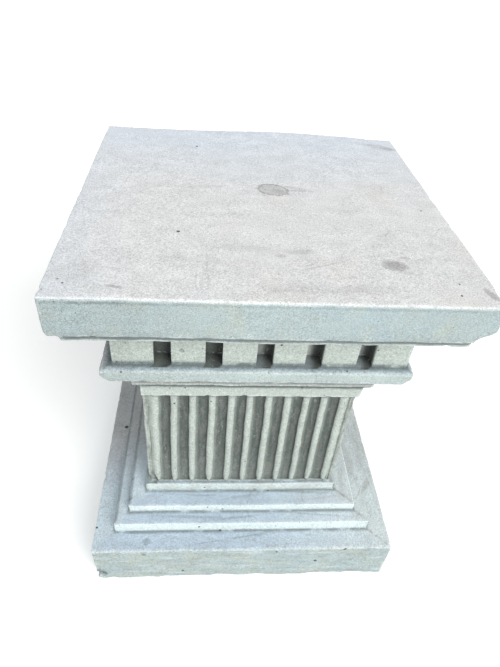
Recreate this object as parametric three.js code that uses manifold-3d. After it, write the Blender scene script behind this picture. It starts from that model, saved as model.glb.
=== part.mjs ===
// Square pedestal column, cast in one piece of pale grey cement. Millimetres, +Z up.
// The origin is the centre of the underside, and the front faces -Y.
// Every width is measured across two opposite flats, and every height is upright.
import * as THREE from 'three';
import { mergeVertices } from 'three/addons/utils/BufferGeometryUtils.js';
import Module from 'manifold-3d';

const wasm = await Module();
wasm.setup();

// Plinth and its three steps, from the ground up
const plinthWidth = 400;
const plinthHeight = 73;
const plinthEase = 2; // worn bevel around the underside
const lowerStepWidth = 346;
const lowerStepHeight = 18.5;
const middleStepWidth = 309;
const middleStepHeight = 13.5;
const upperStepWidth = 261;
const upperStepHeight = 15.5;

// Reeded shaft
const shaftWidth = 253; // across the crowns of the reeds
const shaftHeight = 172;
const reedCount = 11; // on each side
const reedPitch = 22.9;
const reedWidth = 9;
const reedTaper = 18; // height over which a reed narrows to its foot
const reedTipWidth = 2.4;
const fluteDepth = 4.5; // from a reed's crown back to the flat between two reeds
const fluteHeadHeight = 3; // strip under the band that closes the flutes
const fluteArchRise = 1.6; // how far each flute's head arches up into that strip
const fluteHeadSetback = 1; // of that strip behind the crowns
const cornerGrooveWidth = 2; // between a corner and the reed next to it
const cornerGrooveDepth = 2.4;
const cornerSetback = 0.6; // of the corner's faces behind the crowns

// Necking band
const bandWidth = 259;
const bandHeight = 18.5;
const bandDraw = 1.3; // how much the band's foot draws in on each side
const bandRound = 3;

// Bead over the band, on a steep overhang
const beadWidth = 274;
const beadRise = 8.6; // of the overhang between the band and the bead
const beadHeight = 6.4;
const beadRound = 2.4;

// Ledge under the dentils, and the hollow cove that carries it
const ledgeWidth = 327;
const coveHeight = 24;
const coveSpringOut = 4; // the cove leaves the bead towards a point this far out
const coveSpringRise = 12; // and this far up
const ledgeRound = 4;
const ledgeFaceHeight = 12.4;
const ledgeFall = 2.2; // slope of the ledge's top, from the dentils out to its edge

// Dentil course
const courseWidth = 309;
const dentilHeight = 60;
const dentilWidth = 35; // the corner dentils take what is left
const dentilGap = 17.5;
const dentilGapDepth = 15;
const dentilGapCount = 5; // on each side

// Top slab
const slabWidth = 400;
const slabFaceHeight = 30.5;
const slabRoundDepth = 6; // rounded lower edge of the face
const slabRoundHeight = 12.6;
const partingDepth = 2.6; // thin line left by the edge of the mould
const partingHeight = 1.4;
const lipSetback = 1.4; // of the lip under that line, behind the rounded edge's foot
const lipHeight = 9.4;
const lipDraw = 3.6;
const slabEase = 1.5; // softened top edge

const overlap = 1; // how far joined pieces run into each other

// Levels that follow from the sizes above
const lowerStepTop = plinthHeight + lowerStepHeight;
const middleStepTop = lowerStepTop + middleStepHeight;
const shaftFoot = middleStepTop + upperStepHeight;
const shaftTop = shaftFoot + shaftHeight;
const bandTop = shaftTop + bandHeight;
const beadFoot = bandTop + beadRise;
const beadTop = beadFoot + beadHeight;
const coveTop = beadTop + coveHeight;
const ledgeEdge = coveTop + ledgeRound + ledgeFaceHeight;
const courseFoot = ledgeEdge + ledgeFall;
const slabUnderside = courseFoot + dentilHeight;
const lipTop = slabUnderside + lipHeight;
const slabRoundFoot = lipTop + partingHeight;
const slabFaceFoot = slabRoundFoot + slabRoundHeight;
const slabTop = slabFaceFoot + slabFaceHeight + slabEase;

const crown = shaftWidth / 2;
const flat = crown - fluteDepth;
const reedSpan = (reedCount - 1) * reedPitch;

// Turns a closed geometry into a solid: shared corners become one, empty triangles go.
function solid(geometry) {
  const bare = geometry.clone();
  bare.deleteAttribute('normal');
  bare.deleteAttribute('uv');
  const merged = mergeVertices(bare, 1e-4);
  const index = merged.index.array;
  const kept = [];
  for (let i = 0; i < index.length; i += 3) {
    const [a, b, c] = [index[i], index[i + 1], index[i + 2]];
    if (a !== b && b !== c && c !== a) {
      kept.push(a, b, c);
    }
  }
  const vertProperties = new Float32Array(merged.attributes.position.array);
  const triVerts = new Uint32Array(kept);
  return new wasm.Manifold(new wasm.Mesh({ numProp: 3, vertProperties, triVerts }));
}

function geometryOf(manifold) {
  const mesh = manifold.getMesh();
  const geometry = new THREE.BufferGeometry();
  geometry.setAttribute('position', new THREE.BufferAttribute(mesh.vertProperties, 3));
  geometry.setIndex(new THREE.BufferAttribute(mesh.triVerts, 1));
  geometry.computeVertexNormals();
  return geometry;
}

// Half of the column's outline: distance from the axis to a flat, and height.
function outline() {
  const path = new THREE.Path();
  path.moveTo(0, 0);
  path.lineTo(plinthWidth / 2 - plinthEase, 0);
  path.lineTo(plinthWidth / 2, plinthEase);
  path.lineTo(plinthWidth / 2, plinthHeight);
  path.lineTo(lowerStepWidth / 2, plinthHeight);
  path.lineTo(lowerStepWidth / 2, lowerStepTop);
  path.lineTo(middleStepWidth / 2, lowerStepTop);
  path.lineTo(middleStepWidth / 2, middleStepTop);
  path.lineTo(upperStepWidth / 2, middleStepTop);
  path.lineTo(upperStepWidth / 2, shaftFoot);
  path.lineTo(flat, shaftFoot);
  path.lineTo(flat, shaftTop);
  outlineOfCapital(path);
  outlineOfSlab(path);
  return path.getPoints(5);
}

// Band, bead, cove, ledge and the face of the dentil course
function outlineOfCapital(path) {
  const bandFoot = bandWidth / 2 - bandDraw;
  path.lineTo(bandFoot - bandRound, shaftTop);
  path.quadraticCurveTo(bandFoot, shaftTop, bandFoot, shaftTop + bandRound);
  path.lineTo(bandWidth / 2, bandTop);
  path.lineTo(beadWidth / 2 - beadRound, beadFoot);
  path.quadraticCurveTo(beadWidth / 2, beadFoot, beadWidth / 2, beadFoot + beadRound);
  path.lineTo(beadWidth / 2, beadTop);
  const hollowX = beadWidth / 2 + coveSpringOut;
  const hollowY = beadTop + coveSpringRise;
  path.quadraticCurveTo(hollowX, hollowY, ledgeWidth / 2 - ledgeRound, coveTop);
  path.quadraticCurveTo(ledgeWidth / 2, coveTop, ledgeWidth / 2, coveTop + ledgeRound);
  path.lineTo(ledgeWidth / 2, ledgeEdge);
  path.lineTo(courseWidth / 2, courseFoot);
  path.lineTo(courseWidth / 2, slabUnderside);
}

function outlineOfSlab(path) {
  const half = slabWidth / 2;
  const roundFoot = half - slabRoundDepth;
  const lipEdge = roundFoot - lipSetback;
  path.lineTo(lipEdge - lipDraw, slabUnderside);
  path.lineTo(lipEdge, lipTop);
  path.lineTo(roundFoot - partingDepth, lipTop + partingHeight / 2);
  path.lineTo(roundFoot, slabRoundFoot);
  path.quadraticCurveTo(half, slabRoundFoot, half, slabFaceFoot);
  path.lineTo(half, slabTop - slabEase);
  path.lineTo(half - slabEase, slabTop);
  path.lineTo(0, slabTop);
}

// A lathe with four segments gives the square column with its mitred corners.
function squareColumn() {
  const points = outline().map((p) => new THREE.Vector2(p.x * Math.SQRT2, p.y));
  const geometry = new THREE.LatheGeometry(points, 4, Math.PI / 4);
  geometry.rotateX(Math.PI / 2);
  return geometry;
}

// One reed on the front face. Its section is a half ellipse, and its foot narrows to a tip.
function reed(x) {
  const sides = 6;
  const footRings = 4;
  const shape = new THREE.Shape();
  shape.moveTo(-reedWidth / 2, -overlap);
  for (let i = 0; i <= sides; i += 1) {
    const angle = Math.PI * (1 - i / sides);
    shape.lineTo(Math.cos(angle) * reedWidth / 2, Math.sin(angle) * fluteDepth);
  }
  shape.lineTo(reedWidth / 2, -overlap);
  const length = shaftHeight + overlap;
  const geometry = new THREE.ExtrudeGeometry(shape, {
    depth: footRings + 1,
    steps: footRings + 1,
    bevelEnabled: false,
  });
  const position = geometry.attributes.position;
  for (let i = 0; i < position.count; i += 1) {
    const ring = Math.round(position.getZ(i));
    const share = Math.min(ring / footRings, 1);
    const height = ring > footRings ? length : reedTaper * share;
    const tip = reedTipWidth / reedWidth;
    const width = tip + (1 - tip) * Math.sin(share * Math.PI / 2);
    position.setXYZ(i, x + position.getX(i) * width, -flat - position.getY(i), shaftFoot + height);
  }
  // Turning the section's height forwards mirrors it, so each triangle is turned over.
  return turnedOver(geometry);
}

// Swaps two corners of every triangle of a geometry that has no index.
function turnedOver(geometry) {
  const position = geometry.attributes.position;
  for (let i = 0; i < position.count; i += 3) {
    const second = new THREE.Vector3().fromBufferAttribute(position, i + 1);
    const third = new THREE.Vector3().fromBufferAttribute(position, i + 2);
    position.setXYZ(i + 1, third.x, third.y, third.z);
    position.setXYZ(i + 2, second.x, second.y, second.z);
  }
  return new THREE.BufferGeometry().setAttribute('position', position);
}

// The strip under the band on the front face, with a low arch over each flute.
function fluteHeads() {
  const reach = reedSpan / 2 + reedWidth / 2;
  const shape = new THREE.Shape();
  shape.moveTo(reach, overlap);
  shape.lineTo(-reach, overlap);
  shape.lineTo(-reach, -fluteHeadHeight);
  for (let i = 0; i < reedCount - 1; i += 1) {
    const left = i * reedPitch - reedSpan / 2 + reedWidth / 2;
    const right = left + reedPitch - reedWidth;
    const middle = (left + right) / 2;
    shape.lineTo(left, -fluteHeadHeight);
    shape.quadraticCurveTo(middle, 2 * fluteArchRise - fluteHeadHeight, right, -fluteHeadHeight);
  }
  shape.lineTo(reach, -fluteHeadHeight);
  const depth = fluteDepth - fluteHeadSetback + overlap;
  const geometry = new THREE.ExtrudeGeometry(shape, { depth, bevelEnabled: false, curveSegments: 5 });
  geometry.rotateX(Math.PI / 2);
  geometry.translate(0, -flat + overlap, shaftTop);
  return geometry;
}

// A square post in one corner of the shaft, its faces set back from the crowns.
function cornerPost(width, setback) {
  const side = width - setback;
  const geometry = new THREE.BoxGeometry(side, side, shaftHeight + overlap);
  const middle = crown - setback - side / 2;
  geometry.translate(middle, middle, shaftFoot + (shaftHeight + overlap) / 2);
  return geometry;
}

// One gap between two dentils, cut into the front face of the course
function dentilSpace(x) {
  const depth = dentilGapDepth + overlap;
  const geometry = new THREE.BoxGeometry(dentilGap, depth, dentilHeight);
  const y = -courseWidth / 2 - overlap + depth / 2;
  geometry.translate(x, y, courseFoot + dentilHeight / 2);
  return geometry;
}

// Places a front-face geometry on all four faces, and joins or cuts each copy.
function onEachFace(body, geometry, combine) {
  let result = body;
  for (let quarter = 0; quarter < 4; quarter += 1) {
    const copy = geometry.clone().rotateZ(quarter * Math.PI / 2);
    result = combine(result, solid(copy));
  }
  return result;
}

const join = (body, piece) => body.add(piece);
const cut = (body, piece) => body.subtract(piece);

function pedestalSolid() {
  let body = solid(squareColumn());
  const cornerWidth = (shaftWidth - reedSpan - reedWidth) / 2;
  const postWidth = cornerWidth - cornerGrooveWidth;
  body = onEachFace(body, cornerPost(postWidth, cornerSetback), join);
  body = onEachFace(body, cornerPost(cornerWidth + overlap, cornerGrooveDepth), join);
  body = onEachFace(body, fluteHeads(), join);
  for (let i = 0; i < reedCount; i += 1) {
    body = onEachFace(body, reed(i * reedPitch - reedSpan / 2), join);
  }
  const gapPitch = dentilWidth + dentilGap;
  for (let i = 0; i < dentilGapCount; i += 1) {
    const x = (i - (dentilGapCount - 1) / 2) * gapPitch;
    body = onEachFace(body, dentilSpace(x), cut);
  }
  return body;
}

const castCement = new THREE.MeshStandardMaterial({
  color: 0xcfd4d1,
  roughness: 0.88,
  metalness: 0,
});

const pedestal = new THREE.Mesh(geometryOf(pedestalSolid()), castCement);
pedestal.name = 'pedestal';

const group = new THREE.Group();
group.add(pedestal);

export default group;
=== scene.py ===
"""Square pedestal column of pale cast cement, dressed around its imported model."""
import math

import bpy
import numpy as np
from bpy.props import FloatProperty, FloatVectorProperty, PointerProperty
from mathutils import Matrix, Vector


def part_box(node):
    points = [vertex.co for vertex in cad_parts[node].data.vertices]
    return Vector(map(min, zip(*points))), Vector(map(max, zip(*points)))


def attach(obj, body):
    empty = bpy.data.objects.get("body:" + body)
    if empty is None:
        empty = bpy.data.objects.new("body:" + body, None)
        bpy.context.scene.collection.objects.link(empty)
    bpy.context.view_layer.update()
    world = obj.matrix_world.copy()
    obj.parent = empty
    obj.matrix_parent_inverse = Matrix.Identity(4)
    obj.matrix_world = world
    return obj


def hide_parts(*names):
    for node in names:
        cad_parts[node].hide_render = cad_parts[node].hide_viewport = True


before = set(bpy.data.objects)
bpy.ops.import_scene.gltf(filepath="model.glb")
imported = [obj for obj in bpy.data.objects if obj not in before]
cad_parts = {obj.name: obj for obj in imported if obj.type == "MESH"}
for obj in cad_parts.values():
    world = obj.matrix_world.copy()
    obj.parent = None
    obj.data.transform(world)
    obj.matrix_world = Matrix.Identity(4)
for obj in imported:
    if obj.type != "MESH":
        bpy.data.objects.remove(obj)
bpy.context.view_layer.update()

bl_info = {
    "name": "Cast Pedestal Column",
    "version": (1, 0, 0),
    "blender": (4, 5, 0),
    "location": "View3D > Sidebar > Pedestal",
    "description": "Makes a reeded cast-cement pedestal with its weathered surface and a pale studio",
    "category": "Object",
}

SLAB_HALF, _, PEDESTAL_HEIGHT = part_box("pedestal")[1]
# Width of the strip of rings around the trowelled top
TOP_MARGIN = 0.010
# Rounding of the upright corners at the foot and slab, along the shaft, and at the dentils
FOOT_ROUND, SHAFT_ROUND, COURSE_ROUND = 0.0018, 0.0015, 0.0018
# Faces that meet at more degrees than this keep a sharp edge between them
SHARP_TURN = 38.0


def length(name, description, default):
    """A size in metres that a user may change."""
    return FloatProperty(
        name=name, description=description, default=default, unit="LENGTH", precision=5
    )


def colour(name, description, default):
    """A linear colour that a user may change."""
    return FloatVectorProperty(
        name=name, description=description, default=default, size=3, subtype="COLOR", min=0, max=1
    )


class PedestalSizes(bpy.types.PropertyGroup):
    """Half widths are from the axis to a flat; heights are upright."""

    plinth_height: length("Plinth height", "Height of the square foot", 0.073)
    lower_step_half: length("Lower step", "Half width of the lowest step", 0.173)
    lower_step_height: length("Lower step height", "Rise of the lowest step", 0.0185)
    middle_step_half: length("Middle step", "Half width of the middle step", 0.1545)
    middle_step_height: length("Middle step height", "Rise of the middle step", 0.0135)
    upper_step_half: length("Upper step", "Half width of the highest step", 0.1305)
    upper_step_height: length("Upper step height", "Rise of the highest step", 0.0155)
    crown_half: length("Reed crowns", "From the axis to the crowns of the reeds", 0.1265)
    shaft_height: length("Shaft height", "Height of the reeded shaft", 0.172)
    reed_pitch: length("Reed pitch", "From one reed to the next", 0.0229)
    reed_width: length("Reed width", "Width of a reed at its root", 0.009)
    reed_taper: length("Reed taper", "Height over which a reed narrows to its foot", 0.018)
    reed_tip: length("Reed tip", "Width of a reed at its foot", 0.0036)
    flute_depth: length("Flute depth", "From a crown back to the flat between reeds", 0.0045)
    flute_head: length("Flute head", "Height of the strip that closes the flutes", 0.003)
    flute_arch: length("Flute arch", "Rise of the arch over each flute", 0.0016)
    head_setback: length("Head setback", "Depth of that strip behind the crowns", 0.001)
    post_setback: length("Corner setback", "Depth of the corner faces behind the crowns", 0.0006)
    groove_width: length("Corner groove", "Width of the groove beside each corner", 0.002)
    groove_depth: length("Groove depth", "Depth of that groove behind the crowns", 0.0024)
    band_half: length("Necking band", "Half width of the band over the shaft", 0.1295)
    band_height: length("Band height", "Height of the necking band", 0.0185)
    band_draw: length("Band draw", "How far the band's foot draws in", 0.0013)
    bead_half: length("Bead", "Half width of the bead over the band", 0.137)
    bead_rise: length("Bead overhang", "Height of the overhang under the bead", 0.0086)
    bead_height: length("Bead height", "Height of the bead", 0.0064)
    bead_round: length("Bead round", "Rounding of the bead's lower edge", 0.0024)
    cove_height: length("Cove height", "Height of the hollow cove under the ledge", 0.024)
    cove_out: length("Cove spring", "How far out the cove first leans", 0.004)
    cove_up: length("Cove spring height", "How far up it leans so", 0.012)
    ledge_half: length("Ledge", "Half width of the ledge under the dentils", 0.1635)
    ledge_round: length("Ledge round", "Rounding under the ledge's face", 0.004)
    ledge_face: length("Ledge face", "Height of the ledge's face", 0.0124)
    ledge_fall: length("Ledge fall", "Slope of the ledge's top", 0.0022)
    course_half: length("Dentil course", "Half width across the dentils", 0.1545)
    dentil_height: length("Dentil height", "Height of the dentils", 0.06)
    dentil_width: length("Dentil width", "Width of an inner dentil", 0.035)
    dentil_gap: length("Dentil gap", "Gap between two dentils", 0.0175)
    gap_depth: length("Gap depth", "Depth of that gap", 0.015)
    lip_height: length("Lip height", "Height of the lip under the parting line", 0.0094)
    lip_draw: length("Lip draw", "How far the lip's foot draws in", 0.0036)
    lip_setback: length("Lip setback", "Depth of the lip behind the rounded edge", 0.0014)
    parting_height: length("Parting line", "Height of the line left by the mould", 0.0014)
    parting_depth: length("Parting depth", "Depth of that line", 0.0026)
    slab_round_depth: length("Slab rounding", "Depth of the slab's rounded lower edge", 0.006)
    slab_round_height: length("Slab rounding height", "Height of that rounding", 0.0126)


class PedestalWear(bpy.types.PropertyGroup):
    """How far the cast surface departs from the true shape."""

    arris: length("Arris", "Softening of an outer edge", 0.0012)
    nook: length("Nook", "Softening of an inner edge", 0.0006)
    foot_arris: length("Foot arris", "Softening around the underside", 0.0016)
    slab_arris: length("Slab arris", "Softening of the slab's top edge", 0.0018)
    sway: length("Sway", "Slow waviness of the faces", 0.0006)
    ripple: length("Ripple", "Waviness a few centimetres long", 0.00032)
    grit: length("Grit", "Unevenness a few millimetres long", 0.00014)
    chip: length("Chips", "Deepest chip along an edge", 0.0016)
    foot_chip: length("Foot chips", "Deepest chip around the underside", 0.0032)
    reed_wander: length("Reed wander", "How far a reed strays sideways", 0.0006)
    reed_waver: length("Reed waver", "How far its edges waver over a centimetre", 0.0006)
    plinth_spread: length("Plinth spread", "How far the plinth stands out past the slab", 0.0013)
    bow: length("Back bow", "How far the slab's back edge bows out", 0.005)


class PedestalColours(bpy.types.PropertyGroup):
    """Linear colours of the cement and its dirt."""

    top: colour("Top", "Trowelled top of the slab", (0.70, 0.70, 0.70))
    top_cool: colour("Cool top", "Cooler far part of the top", (0.66, 0.70, 0.75))
    # Also painted light on the dentil gaps' walls
    top_warm: colour("Warm top", "Warm blotches on the top", (0.71, 0.70, 0.66))
    face: colour("Face", "Upright faces of slab and plinth", (0.380, 0.445, 0.445))
    face_cool: colour("Cool face", "Cooler patches on those faces", (0.375, 0.453, 0.475))
    face_warm: colour("Warm face", "Sallow patches on those faces", (0.42, 0.457, 0.395))
    course: colour("Course", "Dentils, mouldings and reeds", (0.475, 0.525, 0.485))
    riser: colour("Riser", "Fresh pale risers of the steps", (0.69, 0.78, 0.78))
    # The treads' bluish colour is painted sky light; it also paints light on the ledge's top and in
    # the dentil gaps
    tread: colour("Tread", "Treads of the steps", (0.465, 0.553, 0.638))
    tread_shade: colour("Shaded tread", "Greyer treads at the left", (0.415, 0.42, 0.425))
    pale: colour("Pale edge", "Rubbed edges", (0.72, 0.78, 0.77))
    post: colour("Post", "Dirty runs on the shaft's corners", (0.20, 0.215, 0.195))
    # Also painted shadow under the bead's overhang
    grime_and_shade: colour("Grime", "Dirt in the flutes", (0.080, 0.100, 0.090))
    runs: colour("Runs", "Greyer runs in the flutes", (0.135, 0.142, 0.133))
    # Also painted shade and shadow: under overhangs, in creases and nooks, along the parting line and
    # along the left steps' edges
    dust_and_shade: colour("Dust", "Blue-grey dirt on ledges and in nooks", (0.15, 0.18, 0.185))
    # The gaps' colour is dirt and painted shade
    recess: colour("Recess", "Dirt in the gaps between dentils", (0.115, 0.130, 0.120))
    # Also painted shade in the flutes and the dentil gaps, on the side away from the light
    soot_and_shade: colour("Hole", "Dark inside of holes", (0.035, 0.037, 0.035))
    smudge: colour("Smudge", "Grey marks", (0.36, 0.36, 0.35))
    shaded: colour("Shaded side", "Neutral grey of the left side", (0.40, 0.385, 0.38))
    # Painted light on the treads towards the right, and the plinth's paler bands
    lit_and_pale: colour("Lit side", "Paler treads at the right", (0.60, 0.657, 0.662))
    floor: colour("Floor", "Pale studio floor", (0.97, 0.97, 0.965))


# Columns around the casting: the flat ones of each face lie between two rounded corners.
FLAT_COLUMNS = 107
CORNER_TURNS = (15.0, 30.0)
FACES = 4
REEDS = 11
DENTIL_GAPS = 5
# Rounding of a dentil's upright edge, and how far a gap's wall leans
DENTIL_ROUND = 0.0009
GAP_WALL = 0.0003


def hashed(place, seed):
    """A fixed number from -1 to 1 for each whole-number place, by folding its multiplied bits."""
    mixed = place[..., 0] * 73856093 ^ place[..., 1] * 19349663 ^ place[..., 2] * 83492791
    mixed = mixed ^ (seed * 668265263)
    mixed = (mixed ^ (mixed >> 13)) * 1274126177
    mixed = mixed ^ (mixed >> 16)
    return (mixed & 0xFFFF) / 32767.5 - 1


def smooth_noise(points, cell, seed):
    """Value noise from -1 to 1: a point mixes, by an S-curve, the eight numbers hashed at the
    corners of the cube of side `cell` that it lies in."""
    scaled = points / cell
    base = np.floor(scaled)
    part = scaled - base
    blend = part * part * (3 - 2 * part)
    whole = base.astype(np.int64)
    total = np.zeros(points.shape[:-1])
    for corner in range(8):
        step = np.array([(corner >> axis) & 1 for axis in range(3)])
        weight = np.prod(np.where(step == 1, blend, 1 - blend), axis=-1)
        total += weight * hashed(whole + step, seed)
    return total


def noise_vector(points, cell, seed):
    """Three smooth noises side by side, so that a point can be moved by them."""
    return np.stack([smooth_noise(points, cell, seed + axis) for axis in range(3)], axis=-1)


def s_curve(value, low, high):
    """0 below `low`, 1 above `high`, and 3t^2 - 2t^3 between them."""
    share = np.clip((value - low) / (high - low), 0, 1)
    return share * share * (3 - 2 * share)


def bend(start, via, end, count):
    """Points on the curve that leaves `start` towards `via` and reaches `end` from it:
    (1-t)^2 start + 2t(1-t) via + t^2 end."""
    t = np.linspace(0, 1, count)[:, None]
    start, via, end = map(np.asarray, (start, via, end))
    return (1 - t) ** 2 * start + 2 * t * (1 - t) * via + t**2 * end


def softened(corners):
    """Outline rows from (distance, height, softness, rows after it): each soft corner becomes a
    short bend that starts and ends `softness` away from it, and each straight gets its rows."""
    places = np.array([corner[:2] for corner in corners])
    rows = [places[:1]]
    for i in range(1, len(corners)):
        ahead = corners[i]
        gap = places[i] - places[i - 1]
        start = rows[-1][-1]
        unit = gap / np.linalg.norm(gap)
        end = places[i] - unit * ahead[2]
        count = corners[i - 1][3]
        share = np.linspace(0, 1, count + 2)[1:, None]
        rows.append(start + (end - start) * share)
        if ahead[2] and i + 1 < len(corners):
            onward = places[i + 1] - places[i]
            leave = places[i] + onward / np.linalg.norm(onward) * ahead[2]
            rows.append(bend(end, places[i], leave, 4 if ahead[2] >= 0.001 else 3)[1:])
    return np.concatenate(rows)


def in_row(count, pitch):
    """Centres of so many like things, one pitch apart and evenly about the middle."""
    return (np.arange(count) - (count - 1) / 2) * pitch


class Levels:
    """Heights and face distances of the casting that follow from its sizes."""

    def __init__(self, sizes):
        self.lower_step_top = sizes.plinth_height + sizes.lower_step_height
        self.middle_step_top = self.lower_step_top + sizes.middle_step_height
        self.shaft_foot = self.middle_step_top + sizes.upper_step_height
        self.shaft_top = self.shaft_foot + sizes.shaft_height
        self.band_top = self.shaft_top + sizes.band_height
        self.bead_foot = self.band_top + sizes.bead_rise
        self.bead_top = self.bead_foot + sizes.bead_height
        self.cove_top = self.bead_top + sizes.cove_height
        self.ledge_edge = self.cove_top + sizes.ledge_round + sizes.ledge_face
        self.course_foot = self.ledge_edge + sizes.ledge_fall
        self.slab_underside = self.course_foot + sizes.dentil_height
        self.lip_top = self.slab_underside + sizes.lip_height
        self.round_foot = self.lip_top + sizes.parting_height
        self.round_top = self.round_foot + sizes.slab_round_height
        self.post_half = sizes.crown_half - sizes.post_setback


def foot_corners(sizes, wear, levels):
    """Outline from the underside up the plinth and the three steps to the shaft's foot."""
    arris, nook = wear.arris, wear.nook
    outer = SLAB_HALF + wear.plinth_spread
    return [
        (outer - 0.04, 0, 0, 0),
        (outer - 0.006, 0, 0, 0),
        (outer, 0, wear.foot_arris, 10),
        (outer, sizes.plinth_height, arris, 4),
        (sizes.lower_step_half, sizes.plinth_height, nook, 3),
        (sizes.lower_step_half, levels.lower_step_top, arris, 3),
        (sizes.middle_step_half, levels.lower_step_top, nook, 2),
        (sizes.middle_step_half, levels.middle_step_top, arris, 3),
        (sizes.upper_step_half, levels.middle_step_top, nook, 2),
        (sizes.upper_step_half, levels.shaft_foot, arris, 0),
    ]


def shaft_corners(sizes, levels):
    """Rows up the shaft, close together where the reeds taper and where the flutes arch."""
    soft = 0.0004
    half = levels.post_half
    foot = sizes.reed_taper * np.array([0.03, 0.09, 0.2, 0.36, 0.58, 0.86, 1.25])
    middle_low = sizes.reed_taper * 1.25
    middle_high = sizes.shaft_height - sizes.flute_head - 0.002
    middle = np.linspace(middle_low, middle_high, 30)[1:]
    head = sizes.shaft_height - sizes.flute_head * np.linspace(1, 0.2, 5)
    rises = np.concatenate([foot, middle, head])
    rows = [(half, levels.shaft_foot + rise, 0, 0) for rise in rises]
    return [(half, levels.shaft_foot, soft, 0), *rows, (half, levels.shaft_top, soft, 0)]


def capital_corners(sizes, wear, levels):
    """Outline of the band, the bead on its overhang, the cove, the ledge and the dentil course."""
    arris, nook = wear.arris, wear.nook
    band_foot = sizes.band_half - sizes.band_draw
    nose = sizes.ledge_half - sizes.ledge_round
    hollow = (sizes.bead_half + sizes.cove_out, levels.bead_top + sizes.cove_up)
    cove = bend((sizes.bead_half, levels.bead_top), hollow, (nose, levels.cove_top), 6)
    return [
        (band_foot, levels.shaft_top, 0.0025, 3),
        (sizes.band_half, levels.band_top, 0.0007, 2),
        (sizes.bead_half, levels.bead_foot, sizes.bead_round, 1),
        *[(d, z, 0, 0) for d, z in cove[:-1]],
        (nose, levels.cove_top, 0.0004, 0),
        (sizes.ledge_half, levels.cove_top, sizes.ledge_round, 3),
        (sizes.ledge_half, levels.ledge_edge, arris, 1),
        (sizes.course_half, levels.course_foot, nook, 7),
    ]


def slab_corners(sizes, wear, levels):
    """Outline of the slab: underside, lip, parting line, rounded edge, face and top margin."""
    round_foot = SLAB_HALF - sizes.slab_round_depth
    lip_edge = round_foot - sizes.lip_setback
    rounding = bend(
        (round_foot, levels.round_foot),
        (SLAB_HALF, levels.round_foot),
        (SLAB_HALF, levels.round_top),
        7,
    )
    return [
        (sizes.course_half, levels.slab_underside, wear.nook, 3),
        (lip_edge - sizes.lip_draw, levels.slab_underside, 0.0008, 1),
        (lip_edge, levels.lip_top, 0.0004, 0),
        (round_foot - sizes.parting_depth, levels.lip_top + sizes.parting_height / 2, 0, 0),
        *[(d, z, 0, 0) for d, z in rounding[:-1]],
        (*rounding[-1], 0, 6),
        (SLAB_HALF, PEDESTAL_HEIGHT, wear.slab_arris, 1),
        (SLAB_HALF - TOP_MARGIN, PEDESTAL_HEIGHT, 0, 0),
    ]


def outline_rows(sizes, wear, levels):
    """All outline rows from the underside to the margin of the top."""
    return softened(
        foot_corners(sizes, wear, levels)
        + shaft_corners(sizes, levels)
        + capital_corners(sizes, wear, levels)
        + slab_corners(sizes, wear, levels)
    )


def outline_bends(rows):
    """For each row the outward direction, and how near it is to an outer and an inner edge.

    The direction is the outline's own direction turned a quarter. Where the outline turns left
    there is an outer edge, where it turns right an inner one, and the nearness to each fades as
    a bell curve over a few millimetres of outline."""
    ahead = np.diff(rows, axis=0)
    unit = ahead / np.linalg.norm(ahead, axis=1, keepdims=True)
    unit = np.vstack([unit[:1], unit, unit[-1:]])
    along = unit[:-1] + unit[1:]
    along /= np.linalg.norm(along, axis=1, keepdims=True) + 1e-9
    outward = np.stack([along[:, 1], -along[:, 0]], axis=1)
    turn = unit[:-1, 0] * unit[1:, 1] - unit[:-1, 1] * unit[1:, 0]
    travel = np.concatenate([[0], np.cumsum(np.linalg.norm(ahead, axis=1))])
    apart = travel[:, None] - travel[None, :]
    outer = (np.clip(turn, 0, 0.35) / 0.35 * np.exp(-((apart / 0.0026) ** 2))).max(axis=1)
    inner = (np.clip(-turn, 0, 0.35) / 0.35 * np.exp(-((apart / 0.0045) ** 2))).max(axis=1)
    return outward, outer, inner


def reed_columns(sizes, post_end):
    """Places along a shaft face: seven on each reed, two in each flute, five by each corner."""
    root = sizes.reed_width / 2
    on_reed = root * np.array([-1, -0.87, -0.49, 0, 0.49, 0.87, 1])
    centres = in_row(REEDS, sizes.reed_pitch)
    flute = (sizes.reed_pitch - sizes.reed_width) / 2
    in_flute = flute * np.array([-0.34, 0.34])
    middles = (centres[:-1] + centres[1:]) / 2
    last = centres[-1] + root
    groove_end = last + sizes.groove_width
    by_corner = np.array([
        last + sizes.groove_width * 0.4,
        last + sizes.groove_width * 0.85,
        groove_end + 0.0003,
        (groove_end + post_end) / 2,
        post_end,
    ])
    places = [centres[:, None] + on_reed, middles[:, None] + in_flute]
    return np.sort(np.concatenate([*(p.ravel() for p in places), by_corner, -by_corner]))


def dentil_columns(sizes, course_end):
    """Places along the dentil course: nine at each gap, ten on each inner dentil and eleven on
    each corner one."""
    half = sizes.dentil_gap / 2
    at_gap = np.array([-half - DENTIL_ROUND, -half - 0.0001, -half + GAP_WALL, -half / 2, 0])
    at_gap = np.concatenate([at_gap, -at_gap[:-1]])
    gaps = in_row(DENTIL_GAPS, sizes.dentil_width + sizes.dentil_gap)
    starts = np.concatenate([[-course_end], gaps + half + DENTIL_ROUND])
    ends = np.concatenate([gaps - half - DENTIL_ROUND, [course_end]])
    share = np.arange(11) / 11
    inner_share = (np.arange(10) + 1) / 11
    dentils = starts[1:-1, None] + (ends - starts)[1:-1, None] * inner_share
    first = starts[0] + (ends[0] - starts[0]) * share
    places = [first, -first, dentils.ravel(), (gaps[:, None] + at_gap).ravel()]
    return np.sort(np.concatenate(places))


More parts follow.
